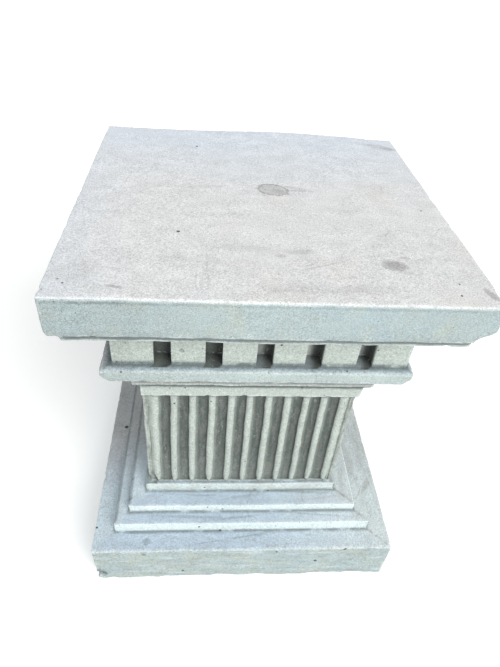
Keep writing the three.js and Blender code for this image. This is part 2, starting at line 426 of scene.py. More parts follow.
def face_columns(sizes, levels, heights):
    """Share of the flat half face at which each column stands, for each row.

    Even columns serve the foot and the slab. They drift to the reeds' places over the highest
    step and the band, and to the dentils' places over the cove and the slab's rounding."""
    even = np.linspace(-1, 1, FLAT_COLUMNS)
    post_end = levels.post_half - SHAFT_ROUND
    course_end = sizes.course_half - COURSE_ROUND
    reeded = reed_columns(sizes, post_end) / post_end
    dentilled = dentil_columns(sizes, course_end) / course_end
    rising = s_curve(heights, levels.middle_step_top, levels.shaft_foot - 0.001)
    falling = 1 - s_curve(heights, levels.shaft_top + 0.004, levels.bead_top)
    to_course = s_curve(heights, levels.bead_top, levels.cove_top)
    to_slab = 1 - s_curve(heights, levels.slab_underside, levels.round_top)
    reed_part = (rising * falling)[:, None]
    course_part = (to_course * to_slab)[:, None]
    return even + reed_part * (reeded - even) + course_part * (dentilled - even)


def shaft_relief(sizes, levels, across, height, wobble):
    """Depth of the shaft's surface in front of its corner faces, how deep in a flute it lies, which
    sets the flute's dirt and painted shade, and how far it belongs to a corner post.

    Each reed is a half ellipse on the flat, narrowed towards its foot by a quarter circle and
    made fuller or leaner by the wobble, a noise from -1 to 1. Over each flute the strip under
    the band starts above a low arch, height = spring + rise (1 - v^2), which the wobble moves
    too."""
    flat = sizes.post_setback - sizes.flute_depth
    span = (REEDS - 1) * sizes.reed_pitch
    number = np.clip(np.round((across + span / 2) / sizes.reed_pitch), 0, REEDS - 1)
    off_centre = across - (number * sizes.reed_pitch - span / 2)
    up = height - levels.shaft_foot
    share = np.clip(up / sizes.reed_taper, 0, 1)
    tip = sizes.reed_tip / sizes.reed_width
    root = sizes.reed_width / 2 * (tip + (1 - tip) * np.sqrt(share * (2 - share)))
    swell = np.sqrt(np.clip(1 - (off_centre / root) ** 2, 0, 1))
    reed = flat + sizes.flute_depth * swell * (1 + 0.08 * wobble)
    flute = (sizes.reed_pitch - sizes.reed_width) / 2
    place = (np.abs(off_centre) - sizes.reed_pitch / 2) / flute
    spring = sizes.shaft_height - sizes.flute_head + 0.0007 * wobble
    arch = spring + sizes.flute_arch * (1 - np.clip(place, -1, 1) ** 2)
    closed = s_curve(up, arch - 0.0003, arch + 0.0009)
    head = flat + (sizes.flute_depth - sizes.head_setback) * closed
    last = span / 2 + sizes.reed_width / 2
    beside = s_curve(np.abs(across), last - 0.001, last)
    groove = flat + (sizes.flute_depth - sizes.groove_depth) * beside
    groove_end = last + sizes.groove_width
    post = flat * (1 - s_curve(np.abs(across), last + sizes.groove_width * 0.85, groove_end))
    relief = np.maximum.reduce([reed, head, groove, post])
    grime_and_shade = np.clip(-relief / sizes.flute_depth, 0, 1)
    return relief, grime_and_shade, s_curve(np.abs(across), last - 0.0002, groove_end)


def dentil_relief(sizes, across):
    """Depth of the dentil course behind its face: none on a dentil, the gap's depth in a gap,
    with each dentil's upright edge rounded off over nearly a millimetre. With it go how far a
    place lies in a gap, and its place across the gap from 0 at the left to 1 at the right."""
    pitch = sizes.dentil_width + sizes.dentil_gap
    number = np.clip(np.round(across / pitch), -(DENTIL_GAPS // 2), DENTIL_GAPS // 2)
    sideways = across - number * pitch
    off_centre = np.abs(sideways)
    half = sizes.dentil_gap / 2
    inside = 1 - s_curve(off_centre, half - GAP_WALL, half)
    edge = 1 - s_curve(off_centre, half, half + DENTIL_ROUND)
    relief = -sizes.gap_depth * inside - 0.0004 * edge
    return relief, inside, np.clip(sideways / half, -1, 1) * 0.5 + 0.5


# Sideways drift of each tier of this hand-filled casting, by height
DRIFT_LEVELS = (
    (0.000, 0.0008),
    (0.070, 0.0008),
    (0.076, -0.0010),
    (0.104, -0.0010),
    (0.106, -0.0048),
    (0.124, -0.0042),
    (0.288, -0.0040),
    (0.296, -0.0022),
    (0.366, -0.0010),
    (0.369, 0.0020),
    (0.428, 0.0020),
    (0.432, 0.0038),
    (0.484, 0.0038),
)
DRIFT_HEIGHTS, DRIFTS = zip(*DRIFT_LEVELS)

# Millimetres by which each reed strays sideways at its foot and at its head, and each gap
REED_FOOT_STRAYS = (0.7, 0.1, 0.8, 1.1, 1.8, 1.2, 1.3, 1.0, 0.7, -0.5, 0.1)
REED_HEAD_STRAYS = (2.4, 1.9, 1.0, 0.9, 1.3, -0.1, -0.3, -0.5, -0.9, -2.4, -2.2)
GAP_STRAYS = (1.9, 1.3, 1.3, 0.0, 2.3)

# Broken and dented places: centre in metres, reach and depth
DENTS = (
    ((-0.1995, -0.1990, 0.010), 0.013, 0.0060),
    ((-0.1980, -0.1985, 0.030), 0.008, 0.0018),
    ((0.1600, -0.2000, 0.000), 0.022, 0.0040),
    ((0.1050, -0.2000, 0.000), 0.018, 0.0030),
    ((-0.1240, -0.1275, 0.1255), 0.011, 0.0040),
    ((0.1265, -0.1265, 0.1230), 0.007, 0.0020),
    ((0.1990, -0.1774, 0.484), 0.009, 0.0014),
    ((0.2030, -0.0600, 0.484), 0.012, 0.0010),
    ((0.2030, -0.0280, 0.484), 0.009, 0.0008),
    ((-0.1330, -0.1995, 0.484), 0.008, 0.0010),
    ((0.0400, -0.2000, 0.484), 0.012, 0.0011),
    ((-0.1635, -0.1635, 0.350), 0.010, 0.0030),
    ((0.1635, -0.1635, 0.350), 0.010, 0.0036),
    ((0.2000, -0.2000, 0.437), 0.022, 0.0070),
)


def stray(across, centres, strays, end):
    """Sideways shift at places along the four faces, read off the straight lines between the
    strays of a face's features. It is nothing at the corners, and each face takes the strays in
    another order."""
    known = np.concatenate([[-end], centres, [end]])
    shifts = []
    for face, places in enumerate(np.array_split(across, FACES, axis=1)):
        metres = np.roll(np.array(strays) * 0.001, 3 * face) * (1 - 2 * (face % 2))
        shifts.append(np.interp(places, known, np.concatenate([[0], metres, [0]])))
    return np.hstack(shifts)


def dented(points):
    """How far each point is pressed in by the dents: depth (1 - (r / reach)^2)^2 around each."""
    total = np.zeros(points.shape[:-1])
    for centre, reach, depth in DENTS:
        away = np.linalg.norm(points - np.array(centre), axis=-1) / reach
        total = np.maximum(total, depth * np.clip(1 - away**2, 0, 1) ** 2)
    return total


def chipped(points, wear):
    """Depth of the chips that an edge would have at each point: two noises, cut off below a
    threshold, and deeper and longer around the underside."""
    small = smooth_noise(points, 0.0075, 31) * 0.6 + smooth_noise(points, 0.0031, 32) * 0.4
    large = smooth_noise(points, 0.026, 33) * 0.65 + smooth_noise(points, 0.009, 34) * 0.35
    upper = wear.chip * s_curve(small, 0.12, 0.75)
    lower = wear.foot_chip * s_curve(large, -0.25, 0.8)
    foot = 1 - s_curve(points[..., 2], 0.006, 0.016)
    return upper + (lower - upper) * foot


class Casting:
    """The whole casting as one closed net of points: rings around it, and a square net on top."""

    def __init__(self, sizes, wear):
        self.sizes = sizes
        self.wear = wear
        self.levels = Levels(sizes)
        rows = outline_rows(sizes, wear, self.levels)
        self.distance, self.height = rows[:, 0], rows[:, 1]
        self.outward, self.outer, self.inner = outline_bends(rows)
        self.make_columns()
        self.make_rings()
        self.make_top()

    def make_columns(self):
        """Columns of one face, from its left mitre up to, not onto, its right mitre."""
        turns = np.radians(CORNER_TURNS)
        flat = np.zeros(FLAT_COLUMNS)
        left = -np.concatenate([[math.pi / 4], turns[::-1]])
        self.turn = np.concatenate([left, flat, turns])
        levels, sizes = self.levels, self.sizes
        corner_rounds = (
            (levels.middle_step_top, FOOT_ROUND),
            (levels.shaft_foot, SHAFT_ROUND),
            (levels.bead_top, SHAFT_ROUND),
            (levels.cove_top, COURSE_ROUND),
            (levels.slab_underside, COURSE_ROUND),
            (levels.round_top, FOOT_ROUND),
        )
        self.radius = np.interp(self.height, *zip(*corner_rounds))
        share = face_columns(sizes, levels, self.height)
        ones = np.ones((len(self.height), len(turns)))
        mitre = np.ones((len(self.height), 1))
        self.share = np.hstack([-mitre, -ones, share, ones])

    def lay(self, distance, relief=0, aside=0):
        """Places every column of the four faces at its row's distance from the axis.

        On a face, across = share (d - r) + r sin(turn) and out = d - r + r cos(turn), with the
        corner's radius r, plus the relief straight out of the face and the stray along it."""
        radius = self.radius[:, None]
        across = self.share_all * (distance - radius) + radius * np.sin(self.turn_all)
        out = distance - radius + radius * np.cos(self.turn_all) + relief
        along = across + aside
        x = along * self.along[0] + out * self.along[1]
        y = along * self.along[1] - out * self.along[0]
        z = np.broadcast_to(self.height[:, None], x.shape)
        return np.stack([x, y, z], axis=-1), across

    def make_rings(self):
        """Rings of points up the casting, with reeds, gaps, waviness, chips and dents."""
        per_face = len(self.turn)
        self.share_all = np.tile(self.share, (1, FACES))
        self.turn_all = np.tile(self.turn, FACES)
        quarter = np.repeat(np.arange(FACES), per_face) * (math.pi / 2)
        self.along = (np.round(np.cos(quarter)), np.round(np.sin(quarter)))
        distance = self.distance[:, None]
        plain, across = self.lay(distance)
        relief, aside, grime_and_shade, post, gap, lee = self.face_relief(plain, across)
        towards_corner = np.abs(self.share_all) * (distance - self.radius[:, None]) - distance
        self.tread = np.broadcast_to(s_curve(self.outward[:, 1:], 0.6, 0.95), relief.shape)
        upright = np.exp(-((towards_corner / 0.004) ** 2)) * (1 - self.tread)
        edge = np.maximum(self.outer[:, None], upright)
        gap_edge = np.abs(np.gradient(gap, axis=1)) > 0.2
        self.edge = np.maximum(edge * (1 - grime_and_shade), gap_edge * 0.6 * (1 - gap))
        brittle = np.maximum(self.outer[:, None] * (1 - grime_and_shade), upright * 0.6)
        depth = chipped(plain, self.wear) * np.maximum(brittle, gap_edge * 0.6) + dented(plain)
        rough = smooth_noise(plain, 0.0042, 41) * self.wear.grit
        press = rough - depth
        moved, _ = self.lay(distance + press * self.outward[:, :1], relief, aside)
        moved[..., 2] += press * self.outward[:, 1:]
        self.rings = self.unsettled(moved)
        self.grime_and_shade, self.post = grime_and_shade, post
        self.gap, self.lee = gap, lee
        self.nook = np.broadcast_to(self.inner[:, None], grime_and_shade.shape)

    def face_relief(self, plain, across):
        """Relief and stray of the reeds and gaps on the rows that they cover, with the marks of flute
        depth, which sets dirt and painted shade, corner post, gap, and place across from one reed's
        crown to the next or across a gap, which sets painted light and shade."""
        levels, sizes = self.levels, self.sizes
        height = np.broadcast_to(self.height[:, None], across.shape)
        clear = 0.0002
        on_shaft = (height > levels.shaft_foot + clear) & (height < levels.shaft_top - clear)
        on_shaft &= np.abs(self.distance - levels.post_half)[:, None] < clear
        wobble = smooth_noise(plain * np.array([1, 1, 0.7]), 0.011, 43)
        shaft, grime_and_shade, post = shaft_relief(sizes, levels, across, height, wobble)
        off_course = np.abs(self.distance - sizes.course_half)[:, None]
        on_course = (height > levels.course_foot + clear) & (height < levels.slab_underside - clear)
        on_course &= off_course < clear
        # The rows in the soft corners above and below the course stray with it, and the gap's
        # floor is marked on the lower ones, which it runs into
        soft = self.wear.nook
        beside = (height > levels.course_foot - soft) & (height < levels.slab_underside + soft)
        beside &= off_course < 0.001
        course, gap, place = dentil_relief(sizes, across)
        relief = np.where(on_shaft, shaft, np.where(on_course, course, 0))
        aside = np.where(on_shaft, self.reed_stray(across, height), 0)
        aside = np.where(on_course | beside, self.gap_stray(across), aside)
        gap = np.where(beside & (height < levels.slab_underside), gap, 0)
        lee = np.where(on_shaft, np.mod(across / sizes.reed_pitch, 1.0), place)
        grime_and_shade, post = (np.where(on_shaft, mark, 0) for mark in (grime_and_shade, post))
        return relief, aside, grime_and_shade, post, gap, lee

    def reed_stray(self, across, height):
        """Stray of the reeds, changing evenly from their feet to their heads."""
        levels, sizes = self.levels, self.sizes
        centres = in_row(REEDS, sizes.reed_pitch)
        rise = np.clip((height - levels.shaft_foot) / sizes.shaft_height, 0, 1)
        foot = stray(across, centres, REED_FOOT_STRAYS, levels.post_half)
        head = stray(across, centres, REED_HEAD_STRAYS, levels.post_half)
        return foot + (head - foot) * rise

    def gap_stray(self, across):
        """Stray of the gaps between the dentils."""
        sizes = self.sizes
        centres = in_row(DENTIL_GAPS, sizes.dentil_width + sizes.dentil_gap)
        return stray(across, centres, GAP_STRAYS, sizes.course_half)

    def unsettled(self, points):
        """The points moved by slow waviness, by ripples and by each tier's sideways drift."""
        wear = self.wear
        moved = points + noise_vector(points, 0.11, 11) * wear.sway
        moved += noise_vector(points, 0.027, 14) * wear.ripple
        levels = self.levels
        height = points[..., 2]
        on_shaft = s_curve(height, levels.shaft_foot, levels.shaft_foot + 0.02)
        on_shaft = on_shaft * (1 - s_curve(height, levels.shaft_top - 0.02, levels.shaft_top))
        wander = noise_vector(points * np.array([1, 1, 0.35]), 0.017, 17) * wear.reed_wander
        wander += noise_vector(points * np.array([1, 1, 0.8]), 0.010, 20) * wear.reed_waver
        moved[..., :2] += wander[..., :2] * on_shaft[..., None]
        # The band's foot and the parting line waver up and down
        hem = np.exp(-(((height - levels.shaft_top) / 0.003) ** 2))
        seam = np.exp(-(((height - levels.lip_top) / 0.004) ** 2))
        moved[..., 2] += smooth_noise(points, 0.011, 23) * 0.0009 * hem
        moved[..., 2] += smooth_noise(points, 0.030, 24) * 0.0011 * seam
        moved[..., 2] += smooth_noise(points, 0.009, 25) * 0.0006 * seam
        bow = self.bowed(points) * s_curve(height, levels.lip_top, levels.round_top)
        moved[..., 1] += bow
        moved[..., 2] += bow * 0.3
        moved[..., 0] += np.interp(height, DRIFT_HEIGHTS, DRIFTS)
        # The underside stays flat on the ground
        grounded = s_curve(height, 0.0, 0.004)
        moved[..., 2] = height + (moved[..., 2] - height) * grounded
        moved[..., 2] = np.maximum(moved[..., 2], 0)
        return moved

    def bowed(self, points):
        """How far the slab's back bows out: bow (1 - u^2)^2 along the back edge, with u counted
        from just right of the middle, fading out over the last eight centimetres of depth."""
        u = np.clip((points[..., 0] - 0.045) / 0.15, -1, 1)
        return self.wear.bow * (1 - u**2) ** 2 * s_curve(points[..., 1], SLAB_HALF - 0.08, SLAB_HALF)

    def make_top(self):
        """The trowelled top: a square net on the last ring's column places, z = top + waves."""
        per_face = len(self.turn)
        last = self.rings[-1]
        side = last[:per_face, 0]
        places = np.append(side, last[per_face, 0])
        x, y = np.meshgrid(places[1:-1], places[1:-1] - DRIFTS[-1])
        points = np.stack([x, y, np.full_like(x, PEDESTAL_HEIGHT)], axis=-1)
        margin = SLAB_HALF - TOP_MARGIN - np.maximum(np.abs(x - DRIFTS[-1]), np.abs(y))
        inward = s_curve(margin, 0, 0.012)
        wave = smooth_noise(points, 0.11, 13) * self.wear.sway
        wave += smooth_noise(points, 0.027, 16) * self.wear.ripple
        streaked = points * np.array([1, 2.6, 1])
        wave += smooth_noise(streaked, 0.03, 19) * self.wear.ripple * inward
        bow = self.bowed(points)
        points[..., 2] += wave + bow * 0.3
        points[..., 1] += bow
        self.top = points

    def faces(self):
        """Quads between neighbouring rings and over the top net, and a fan on the underside."""
        count, around = self.rings.shape[:2]
        number = np.arange(count * around).reshape(count, around)
        onward = np.roll(number, -1, axis=1)
        sides = np.stack([number[:-1], onward[:-1], onward[1:], number[1:]], axis=-1).reshape(-1, 4)
        per_face = around // FACES
        last = np.append(number[-1], number[-1, 0])
        net = np.empty((per_face + 1, per_face + 1), dtype=np.int64)
        net[0] = last[: per_face + 1]
        net[:, -1] = last[per_face : 2 * per_face + 1]
        net[-1] = last[2 * per_face : 3 * per_face + 1][::-1]
        net[:, 0] = last[3 * per_face : 4 * per_face + 1][::-1]
        inner = per_face - 1
        net[1:-1, 1:-1] = count * around + np.arange(inner * inner).reshape(inner, inner)
        corners = (net[:-1, :-1], net[:-1, 1:], net[1:, 1:], net[1:, :-1])
        top = np.stack(corners, axis=-1).reshape(-1, 4)
        centre = count * around + inner * inner
        fan = np.stack([np.full(around, centre), onward[0], number[0]], axis=-1)
        return sides.tolist() + top.tolist() + fan.tolist()

    def points(self):
        """Every point of the net: the rings, the inner points of the top, the underside's pole."""
        pole = np.array([[0.0, 0.0, 0.0]])
        return np.concatenate([self.rings.reshape(-1, 3), self.top.reshape(-1, 3), pole])

    def marks(self):
        """Values that the finish reads at each point: edges, nooks, flutes, posts, gaps, the
        place across flutes and gaps, and treads. The top and the underside's pole have none."""
        spare = np.zeros(self.top.shape[0] * self.top.shape[1] + 1)
        names = ("edge", "nook", "grime_and_shade", "post", "gap", "lee", "tread")
        return {name: np.concatenate([getattr(self, name).ravel(), spare]) for name in names}


def put_in_scene(name, points, faces, marks=None):
    """A smooth-shaded mesh object at the origin, with sharp edges kept where faces turn hard."""
    mesh = bpy.data.meshes.new(name)
    mesh.from_pydata(points.tolist(), [], faces)
    for mark, values in (marks or {}).items():
        attribute = mesh.attributes.new(mark, "FLOAT", "POINT")
        attribute.data.foreach_set("value", values.astype(np.float32))
    mesh.polygons.foreach_set("use_smooth", np.ones(len(mesh.polygons), dtype=bool))
    mesh.set_sharp_from_angle(angle=math.radians(SHARP_TURN))
    mesh.update()
    piece = bpy.data.objects.new(name, mesh)
    bpy.context.scene.collection.objects.link(piece)
    return piece


class Signal:
    """One shader value. Arithmetic on it adds Math nodes to its tree."""

    def __init__(self, socket):
        self.socket = socket
        self.node = socket.node
        self.tree = socket.id_data

    def other(self, output):
        """Another output of the same node."""
        return Signal(self.node.outputs[output])

    def maths(self, operation, first, second=0.0):
        """Adds the Math node of an operation on one or two values, signals or numbers."""
        node = self.tree.nodes.new("ShaderNodeMath")
        node.operation = operation
        for socket, value in zip(node.inputs, (first, second)):
            if isinstance(value, Signal):
                self.tree.links.new(value.socket, socket)
            else:
                socket.default_value = value
        return Signal(node.outputs[0])

    def __add__(self, other):
        return self.maths("ADD", self, other)

    def __sub__(self, other):
        return self.maths("SUBTRACT", self, other)

    def __mul__(self, other):
        return self.maths("MULTIPLY", self, other)

    def __truediv__(self, other):
        return self.maths("DIVIDE", self, other)

    def __radd__(self, other):
        return self.maths("ADD", other, self)

    def __rsub__(self, other):
        return self.maths("SUBTRACT", other, self)

    def __rmul__(self, other):
        return self.maths("MULTIPLY", other, self)

    def above(self, limit):
        """1 where the value is over the limit, else 0."""
        return self.maths("GREATER_THAN", self, limit)

    def larger(self, other):
        """The larger of the two values."""
        return self.maths("MAXIMUM", self, other)

    def root(self):
        """Its square root."""
        return self.maths("SQRT", self)

    def size(self):
        """Its value without the sign."""
        return self.maths("ABSOLUTE", self)


class Finish:
    """A material under construction, with short ways to add the nodes that cement needs."""

    def __init__(self, name, **constants):
        self.material = bpy.data.materials.new(name)
        self.material.use_nodes = True
        self.tree = self.material.node_tree
        self.tree.nodes.clear()
        surface = self.add("ShaderNodeBsdfPrincipled")
        self.shader = surface.node
        for socket, value in constants.items():
            self.shader.inputs[socket.replace("_", " ")].default_value = value
        self.add("ShaderNodeOutputMaterial", None, {"Surface": surface})
        self.place = self.add("ShaderNodeTexCoord", output="Object")
        self.x = self.add("ShaderNodeSeparateXYZ", None, {0: self.place})
        self.y, self.z = self.x.other("Y"), self.x.other("Z")

    def add(self, kind, settings=None, inputs=None, output=0):
        """Adds one node: its settings first, then the values or links of its sockets."""
        node = self.tree.nodes.new(kind)
        for name, value in (settings or {}).items():
            setattr(node, name, value)
        for name, value in (inputs or {}).items():
            if isinstance(value, Signal):
                self.tree.links.new(value.socket, node.inputs[name])
            else:
                node.inputs[name].default_value = value
        return Signal(node.outputs[output]) if node.outputs else None

    def feed(self, socket, signal):
        """Links a value to one of the shader's sockets."""
        self.tree.links.new(signal.socket, self.shader.inputs[socket])

    def mark(self, name):
        """A value that the mesh carries at its points."""
        return self.add("ShaderNodeAttribute", {"attribute_name": name}, output="Fac")

    def noise(self, scale, detail=2.0, rough=0.5, twist=0.0, place=None):
        """Cloudy noise from 0 to 1, with `scale` blotches to the metre."""
        return self.add(
            "ShaderNodeTexNoise",
            None,
            {
                "Vector": place or self.place,
                "Scale": scale,
                "Detail": detail,
                "Roughness": rough,
                "Distortion": twist,
            },
        )

    def streaks(self, x, y, z, rough, twist, detail=4.0):
        """Cloudy noise on the place with each axis scaled, so that it runs along one of them."""
        stretch = {0: self.place, 1: (x, y, z)}
        place = self.add("ShaderNodeVectorMath", {"operation": "MULTIPLY"}, stretch)
        return self.noise(1.0, detail, rough, twist, place)

    def ramp(self, value, low, high):
        """0 at `low`, 1 at `high` and beyond, smooth between; `low` may be the larger."""
        rise = self.add(
            "ShaderNodeMapRange",
            {"interpolation_type": "SMOOTHSTEP"},
            {"Value": value, "From Min": min(low, high), "From Max": max(low, high)},
        )
        return 1 - rise if low > high else rise

    def between(self, value, low, high, soft):
        """1 between two limits, falling to 0 over `soft` on both sides."""
        return self.ramp(value, low - soft, low + soft) * self.ramp(value, high + soft, high - soft)

    def mix(self, factor, first, second):
        """Colour `first` turned into `second` by the factor. Colours are triples or signals."""
        first, second = (
            value if isinstance(value, Signal) else (*value, 1.0) for value in (first, second)
        )
        return self.add(
            "ShaderNodeMix", {"data_type": "RGBA"}, {0: factor, 6: first, 7: second}, output=2
        )

    def layered(self, paint, coats):
        """The paint under all the coats, each a factor and a colour, the last one outermost."""
        for factor, shade in coats:
            paint = self.mix(factor, paint, shade)
        return paint

    def toned(self, paint, tone):
        """The colour made darker or lighter by a number around 1."""
        return self.add("ShaderNodeVectorMath", {"operation": "SCALE"}, {0: paint, "Scale": tone})

    def pits(self, cell, reach, share):
        """Round holes: in the given share of the cells, 1 within `reach` of the cell's point."""
        cells = self.add("ShaderNodeTexVoronoi", None, {"Vector": self.place, "Scale": 1 / cell})
        draw = self.add("ShaderNodeSeparateColor", None, {0: cells.other("Color")})
        girth = draw.other("Green") * 0.7 + 0.3
        away = cells / (girth * (reach / cell))
        return self.ramp(away, 1.0, 0.6) * draw.above(1 - share)

    def lines(self, scale, width, twist):
        """Thin wandering lines, where cloudy noise crosses its middle value."""
        return self.ramp((self.noise(scale, 1.5, 0.45, twist) - 0.5).size(), width, width * 0.2)

    def spot(self, centre, half_long, half_wide, turn=0.0):
        """Distance from a place on the top, counted in the half sizes of a turned ellipse."""
        dx = self.x - centre[0]
        dy = self.y - centre[1]
        cosine, sine = math.cos(math.radians(turn)), math.sin(math.radians(turn))
        along = (dx * cosine + dy * sine) / half_long
        aside = (dy * cosine - dx * sine) / half_wide
        return (along * along + aside * aside).root()

    def blot(self, centre, reach, ragged=0.0):
        """1 within `reach` of a place, falling to 0 just beyond it, or at a ragged distance."""
        away = self.add(
            "ShaderNodeVectorMath",
            {"operation": "DISTANCE"},
            {0: self.place, 1: centre},
            output="Value",
        )
        return self.ramp(away + ragged, reach * 1.15, reach * 0.7)

    def blots(self, list_of_blots, ragged=0.0):
        """The strongest of several blots at each place. Each has a centre, a reach and, where it
        is weaker than 1, a strength."""
        total = None
        for centre, reach, *strength in list_of_blots:
            blot = self.blot(centre, reach, ragged)
            if strength:
                blot = blot * strength[0]
            total = blot if total is None else total.larger(blot)
        return total


# Grey smudges on the top: centre, half length, half width, turn in degrees, outline, filling
TOP_SMUDGES = (
    ((0.0163, 0.0170), 0.0185, 0.0142, -14.0, 0.90, 0.42),
    ((0.0110, 0.0200), 0.0070, 0.0056, -14.0, 0.60, 0.00),
    ((0.0230, 0.0130), 0.0085, 0.0055, -18.0, 0.30, 0.44),
    ((0.0480, 0.0170), 0.0160, 0.0016, 2.0, 0.00, 0.52),
    ((0.0440, 0.0235), 0.0150, 0.0040, -10.0, 0.00, 0.26),
    ((0.1178, -0.1375), 0.0125, 0.0092, -10.0, 0.26, 0.78),
    ((0.1230, -0.1480), 0.0140, 0.0040, -22.0, 0.00, 0.20),
    ((0.1317, -0.1232), 0.0068, 0.0028, 0.0, 0.00, 0.50),
    ((0.0110, -0.1262), 0.0050, 0.0036, 0.0, 0.20, 0.40),
    ((0.0320, -0.1180), 0.0150, 0.0055, 8.0, 0.00, 0.24),
    ((0.0480, -0.1420), 0.0300, 0.0011, 22.0, 0.00, 0.30),
    ((0.0360, -0.1415), 0.0050, 0.0014, 24.0, 0.00, 0.45),
    ((0.1960, -0.1800), 0.0046, 0.0100, 18.0, 0.20, 0.66),
    ((0.1800, 0.1690), 0.0210, 0.0100, -18.0, 0.00, 0.34),
    ((0.1910, 0.1640), 0.0110, 0.0060, -14.0, 0.00, 0.46),
    ((0.1600, 0.1780), 0.0200, 0.0060, -8.0, 0.00, 0.18),
    ((-0.1344, -0.1836), 0.0085, 0.0020, -16.0, 0.00, 0.60),
    ((-0.1760, -0.1620), 0.0260, 0.0150, 25.0, 0.00, 0.14),
    ((0.0550, -0.1780), 0.0700, 0.0080, 2.0, 0.00, 0.20),
    ((-0.0200, -0.1150), 0.0500, 0.0060, -2.0, 0.00, 0.12),
    ((0.1700, -0.0980), 0.0060, 0.0110, 30.0, 0.00, 0.22),
    ((0.1830, -0.1430), 0.0050, 0.0030, 0.0, 0.00, 0.22),
    ((-0.0786, -0.0523), 0.0120, 0.0022, -24.0, 0.00, 0.26),
    ((-0.0581, -0.0208), 0.0060, 0.0018, 0.0, 0.00, 0.26),
    ((-0.0820, 0.0170), 0.0460, 0.0050, 4.0, 0.00, 0.15),
    ((0.0080, 0.0080), 0.0360, 0.0060, -6.0, 0.00, 0.14),
    ((-0.0672, -0.1500), 0.0400, 0.0010, 88.7, 0.00, 0.12),
    ((-0.0579, -0.1540), 0.0450, 0.0010, 92.0, 0.00, 0.18),
)

# Holes that stay open in the surface: place and reach
HOLES = (
    ((-0.0868, -0.0875, 0.4840), 0.0019),
    ((-0.0735, 0.1384, 0.4840), 0.0016),
    ((-0.1779, -0.1795, 0.4840), 0.0011),
    ((-0.1830, -0.1736, 0.4840), 0.0008),
    ((-0.1930, -0.1886, 0.4840), 0.0010),
    ((0.1808, -0.0198, 0.4840), 0.0012),
    ((0.1667, -0.1829, 0.4840), 0.0012),
    ((0.1712, -0.1650, 0.4840), 0.0010),
    ((-0.1804, 0.0077, 0.0732), 0.0032),
    ((-0.1990, -0.1658, 0.0730), 0.0016),
    ((0.0341, -0.1305, 0.1040), 0.0017),
    ((-0.0547, -0.1305, 0.1119), 0.0012),
    ((-0.0299, -0.1545, 0.0965), 0.0015),
    ((-0.0502, -0.1545, 0.1014), 0.0012),
    ((-0.0612, -0.1730, 0.0837), 0.0016),
    ((-0.0326, -0.1730, 0.0745), 0.0018),
    ((0.0435, -0.1730, 0.0830), 0.0011),
    ((0.1005, -0.2012, 0.0406), 0.0023),
    ((0.1374, -0.2008, 0.0700), 0.0023),
    ((0.0436, -0.2010, 0.0660), 0.0017),
    ((-0.0826, -0.2013, 0.0190), 0.0020),
    ((0.0185, -0.1545, 0.3974), 0.0014),
    ((0.1197, -0.1545, 0.3921), 0.0010),
    ((-0.1423, -0.1635, 0.3649), 0.0013),
    ((-0.0971, -0.1295, 0.3068), 0.0011),
    ((-0.0798, -0.1295, 0.3076), 0.0010),
    ((0.0832, -0.1295, 0.2968), 0.0011),
    ((-0.0926, -0.1265, 0.2780), 0.0014),
    ((-0.0498, -0.1265, 0.2824), 0.0010),
    ((-0.0021, -0.1265, 0.1652), 0.0012),
    ((0.1113, -0.1265, 0.2809), 0.0010),
)

# Grey stains on the steps and the plinth: place, reach and strength
STAINS = (
    ((-0.1309, -0.1872, 0.0730), 0.0056, 0.42),
    ((-0.1335, -0.2000, 0.0650), 0.0036, 0.55),
    ((-0.1950, -0.1980, 0.0150), 0.0110, 0.78),
    ((-0.1999, -0.2000, 0.0643), 0.0036, 0.60),
    ((-0.0815, -0.1545, 0.3877), 0.0026, 0.55),
    ((-0.1215, -0.1268, 0.1240), 0.0048, 0.75),
    ((0.1230, -0.1270, 0.1240), 0.0040, 0.55),
    ((-0.1700, -0.1990, 0.0600), 0.0022, 0.50),
    ((0.0150, -0.1300, 0.1065), 0.0030, 0.55),
)

# Dirt that water left along the treads: centre, height, half length, half width, turn, strength
TREAD_MARKS = (
    ((-0.0518, -0.1901), 0.0730, 0.0330, 0.0012, 8.6, 0.34),
    ((0.0017, -0.1821), 0.0730, 0.0280, 0.0014, 8.4, 0.34),
    ((0.0152, -0.1800), 0.0730, 0.0280, 0.0036, 3.0, 0.18),
    ((-0.1211, -0.1791), 0.0730, 0.0125, 0.0008, 18.0, 0.28),
    ((-0.1386, -0.1752), 0.0730, 0.0300, 0.0011, -1.0, 0.40),
    ((-0.0011, -0.1405), 0.1050, 0.0320, 0.0030, 9.0, 0.30),
    ((-0.0720, -0.1374), 0.1050, 0.0480, 0.0016, -2.6, 0.28),
    ((0.0856, -0.1348), 0.1050, 0.0450, 0.0024, -2.7, 0.32),
    ((-0.0778, -0.1625), 0.0915, 0.0550, 0.0026, -2.1, 0.32),
    ((-0.0093, -0.1645), 0.0915, 0.0400, 0.0022, 6.4, 0.32),
    ((0.0949, -0.1606), 0.0915, 0.0460, 0.0016, -4.9, 0.30),
)


